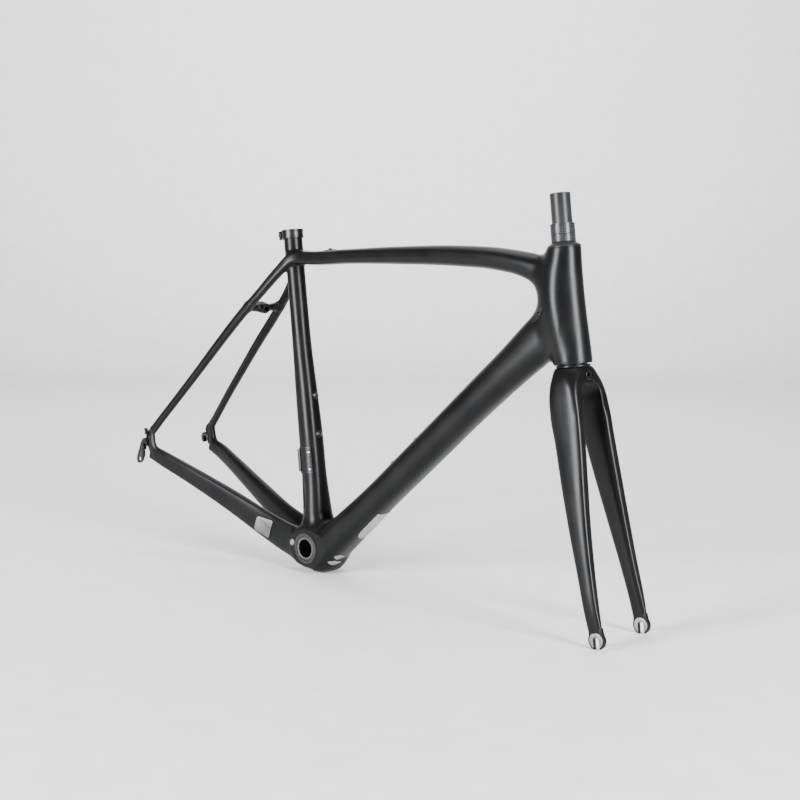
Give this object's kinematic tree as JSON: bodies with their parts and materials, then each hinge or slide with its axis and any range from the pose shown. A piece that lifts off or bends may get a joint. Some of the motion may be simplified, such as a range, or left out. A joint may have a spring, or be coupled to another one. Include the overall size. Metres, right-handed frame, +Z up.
{
  "type": "bicycle frame",
  "caption": "Road bicycle frameset: moulded carbon frame and rim-brake fork that steers in its headset, with bottom bracket bearings, derailleur hanger and seatpost clamp.",
  "frame": {"origin": "on the floor under the middle of the object's bounding box", "axes": "+X forward, +Y to the rider's left, +Z up; the frameset stands nose-down by 9.58 degrees from its riding posture"},
  "size_m": [1.0147, 0.1472, 0.6117],
  "materials": {
    "carbon": "satin clear coat over black carbon fibre",
    "black_alloy": "black anodised",
    "black_steel": "black oxide",
    "black_plastic": "moulded, slightly glossy",
    "aluminium": "brushed",
    "steel": "ground and polished"
  },
  "bodies": {
    "frame": {"bb_cup_left": "black_alloy", "bb_cup_right": "black_alloy", "bb_dust_sleeve": "black_plastic", "bb_outer_race_left": "steel", "bb_outer_race_right": "steel", "bottom_bracket_shell": "carbon", "brake_bridge": "carbon", "cable_guide": "black_plastic", "chainstay_guard_plate": "steel", "chainstay_left": "carbon", "chainstay_right": "carbon", "derailleur_hanger": "black_alloy", "derailleur_hanger_screw": "steel", "down_tube": "carbon", "down_tube_bottle_bolt_lower": "black_steel", "down_tube_bottle_bolt_upper": "black_steel", "down_tube_cable_port": "black_alloy", "down_tube_guard_film": "steel", "dropout_left": "carbon", "dropout_right": "carbon", "front_derailleur_mount": "black_alloy", "front_derailleur_mount_screw_lower": "steel", "front_derailleur_mount_screw_upper": "steel", "head_tube": "carbon", "headset_lower_outer_race": "steel", "headset_upper_outer_race": "steel", "port_plug": "aluminium", "rear_cable_stop": "black_alloy", "seat_clamp_bolt": "steel", "seat_clamp_collar": "black_alloy", "seat_clamp_nut": "steel", "seat_tube": "carbon", "seat_tube_bottle_bolt_lower": "black_steel", "seat_tube_bottle_bolt_upper": "black_steel", "seatstay_left": "carbon", "seatstay_right": "carbon", "top_tube": "carbon", "top_tube_cable_stop": "black_alloy"},
    "fork": {"fork_steerer": "carbon", "fork_crown": "carbon", "fork_blade_left": "carbon", "fork_blade_right": "carbon", "fork_tip_left": "aluminium", "fork_tip_right": "aluminium", "crown_brake_sleeve": "black_alloy", "headset_crown_race": "black_alloy", "headset_lower_inner_race": "steel", "headset_upper_inner_race": "steel", "headset_compression_ring": "black_alloy", "headset_top_cover": "black_plastic", "steerer_spacer_lower": "carbon", "steerer_spacer_upper": "carbon"},
    "headset_upper_balls": {"headset_upper_ball_ring": "black_plastic"},
    "headset_lower_balls": {"headset_lower_ball_ring": "black_plastic"},
    "bb_right_race": {"bb_inner_race_right": "steel"},
    "bb_left_race": {"bb_inner_race_left": "steel"},
    "bb_right_balls": {"bb_ball_ring_right": "black_plastic"},
    "bb_left_balls": {"bb_ball_ring_left": "black_plastic"}
  },
  "joints": [
    {"name": "steering", "type": "hinge", "parent": "frame", "child": "fork", "pos_m": [0.40768, 0, 0.37627], "axis": [-0.1188, 0, 0.9929], "range_deg": [-90, 90]},
    {"name": "headset_upper_balls_turn", "type": "hinge", "parent": "frame", "child": "headset_upper_balls", "pos_m": [0.40768, 0, 0.37627], "axis": [-0.1188, 0, 0.9929], "range_deg": [-45, 45]},
    {"name": "headset_lower_balls_turn", "type": "hinge", "parent": "frame", "child": "headset_lower_balls", "pos_m": [0.40768, 0, 0.37627], "axis": [-0.1188, 0, 0.9929], "range_deg": [-45, 45]},
    {"name": "bb_right_race_spin", "type": "hinge", "parent": "frame", "child": "bb_right_race", "pos_m": [-0.1004, -0.034, 0.042], "axis": [0, 1, 0], "continuous": true},
    {"name": "bb_right_balls_spin", "type": "hinge", "parent": "frame", "child": "bb_right_balls", "pos_m": [-0.1004, -0.034, 0.042], "axis": [0, 1, 0], "continuous": true},
    {"name": "bb_left_race_spin", "type": "hinge", "parent": "frame", "child": "bb_left_race", "pos_m": [-0.1004, 0.034, 0.042], "axis": [0, 1, 0], "continuous": true},
    {"name": "bb_left_balls_spin", "type": "hinge", "parent": "frame", "child": "bb_left_balls", "pos_m": [-0.1004, 0.034, 0.042], "axis": [0, 1, 0], "continuous": true}
  ],
  "couplings": [
    {"joint": "headset_upper_balls_turn", "follows": "steering", "ratio": 0.48},
    {"joint": "headset_lower_balls_turn", "follows": "steering", "ratio": 0.48},
    {"joint": "bb_right_balls_spin", "follows": "bb_right_race_spin", "ratio": 0.45},
    {"joint": "bb_left_balls_spin", "follows": "bb_left_race_spin", "ratio": 0.45}
  ]
}
